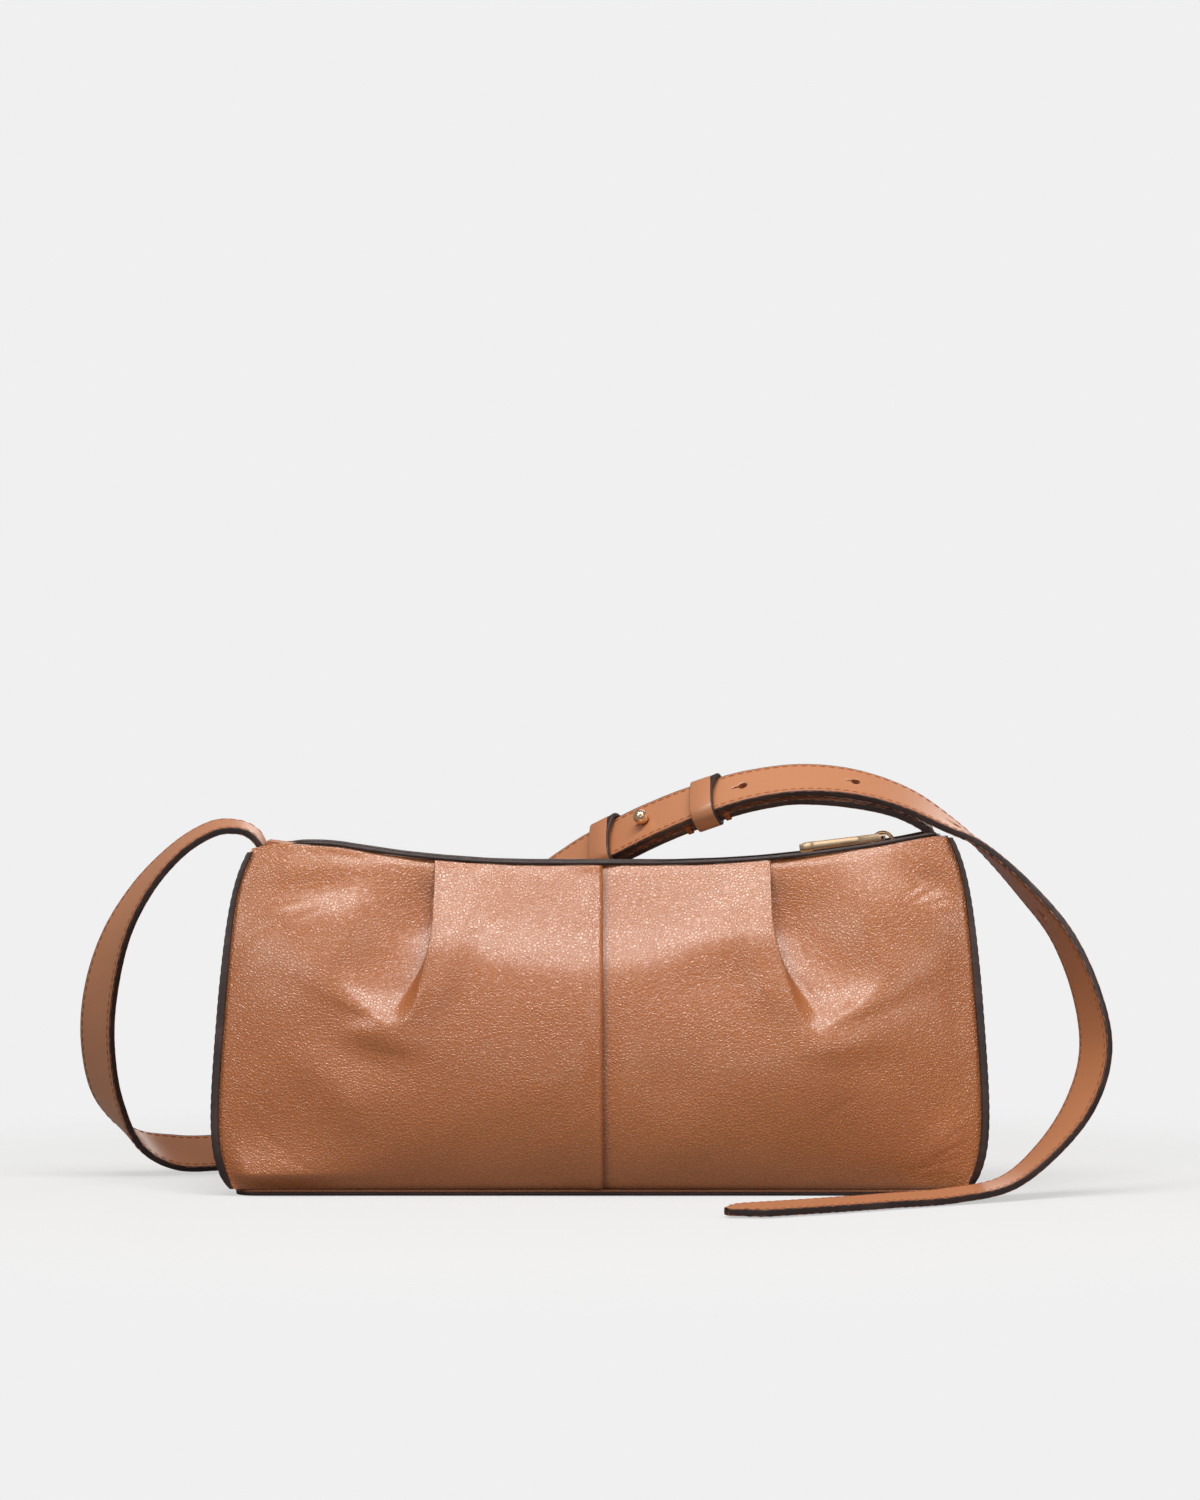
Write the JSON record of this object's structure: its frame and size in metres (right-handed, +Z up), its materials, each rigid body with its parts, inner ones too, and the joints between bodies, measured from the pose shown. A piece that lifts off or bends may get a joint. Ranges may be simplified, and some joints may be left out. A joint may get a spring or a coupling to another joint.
{
  "type": "sling bag",
  "caption": "Small pleated leather sling bag with a zipped mouth, triangular end gussets and a long strap that buttons onto a short one.",
  "frame": {"origin": "middle of the flat base, on the surface that the bag stands on", "axes": "+X to the right as seen from the pleated front, +Y from the front to the back, +Z up"},
  "size_m": [0.4079, 0.1979, 0.1671],
  "materials": {
    "leather": "fine grain, semi-gloss tan",
    "strap_leather": "smooth tan, stitched and edge painted",
    "edge_paint": "dark brown edge paint, satin",
    "metal": "polished pale gold plate",
    "zip_cloth": "woven brown tape",
    "lining_cloth": "woven twill lining",
    "board": "fibre board",
    "thread": "waxed orange-brown thread"
  },
  "bodies": {
    "bag": {"front_panel_left": "leather", "front_panel_right": "leather", "back_panel_left": "leather", "back_panel_right": "leather", "gusset_left": "leather", "gusset_right": "leather", "base_panel": "leather", "base_welt": "leather", "base_board": "board", "mouth_binding_front": "edge_paint", "mouth_binding_back": "edge_paint", "side_seam_front_left": "edge_paint", "side_seam_front_right": "edge_paint", "side_seam_back_left": "edge_paint", "side_seam_back_right": "edge_paint", "lining_front": "lining_cloth", "lining_back": "lining_cloth", "lining_left": "lining_cloth", "lining_right": "lining_cloth", "lining_base": "lining_cloth", "slip_pocket": "lining_cloth", "zip_tape_front": "zip_cloth", "zip_tape_back": "zip_cloth", "zip_teeth_front": "metal", "zip_teeth_back": "metal", "zip_stop_open": "metal", "zip_stop_closed": "metal", "zip_tab_left": "leather", "zip_tab_right": "leather", "long_strap": "strap_leather", "short_strap": "strap_leather", "keeper_fixed": "strap_leather", "keeper_tacks": "thread", "stud_head": "metal", "stud_screw": "metal"},
    "slider": {"zip_slider": "metal"},
    "pull": {"zip_pull": "metal"},
    "keeper": {"keeper_sliding": "strap_leather"}
  },
  "joints": [
    {"name": "zip_travel", "type": "hinge", "parent": "bag", "child": "slider", "pos_m": [0.004, 0, 0.9774], "axis": [0, 1, 0], "range_deg": [0, 13.9]},
    {"name": "pull_swing", "type": "hinge", "parent": "slider", "child": "pull", "pos_m": [0.11184, 0, 0.1379], "axis": [0, 1, 0], "range_deg": [0, 10]},
    {"name": "keeper_travel", "type": "slide", "parent": "bag", "child": "keeper", "axis": [0.7899, -0.4531, 0.4132], "range_m": [-0.005, 0.005]}
  ]
}
